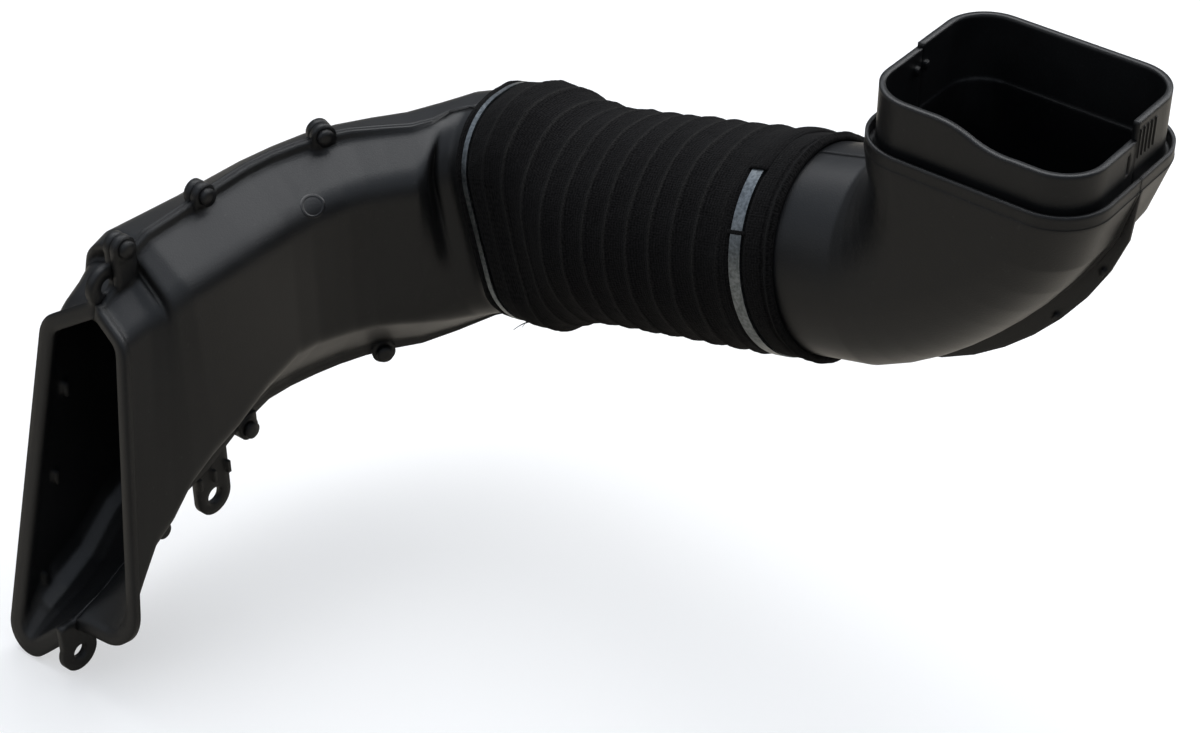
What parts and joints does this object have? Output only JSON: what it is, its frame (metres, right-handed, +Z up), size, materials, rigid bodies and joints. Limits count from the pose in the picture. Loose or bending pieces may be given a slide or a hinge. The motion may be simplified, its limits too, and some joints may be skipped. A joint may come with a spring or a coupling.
{
  "type": "air intake hose",
  "caption": "Engine air intake duct: a flat curved scoop and an outlet elbow of black plastic joined by a textile-covered flexible hose.",
  "frame": {"origin": "centre of the outlet collar in its shoulder plane", "axes": "+Z up the outlet collar, +X along the collar's long side away from the hose, the hose lies in the XZ plane"},
  "size_m": [0.3607, 0.2606, 0.2764],
  "materials": {
    "duct_plastic": "satin",
    "sleeve_fabric": "matte",
    "band_steel": "satin"
  },
  "bodies": {
    "root": {"scoop_front_shell": "duct_plastic", "scoop_rear_shell": "duct_plastic", "elbow_front_shell": "duct_plastic", "elbow_rear_shell": "duct_plastic", "hose_sleeve": "sleeve_fabric", "scoop_end_band": "band_steel", "elbow_end_band": "band_steel"}
  },
  "joints": []
}
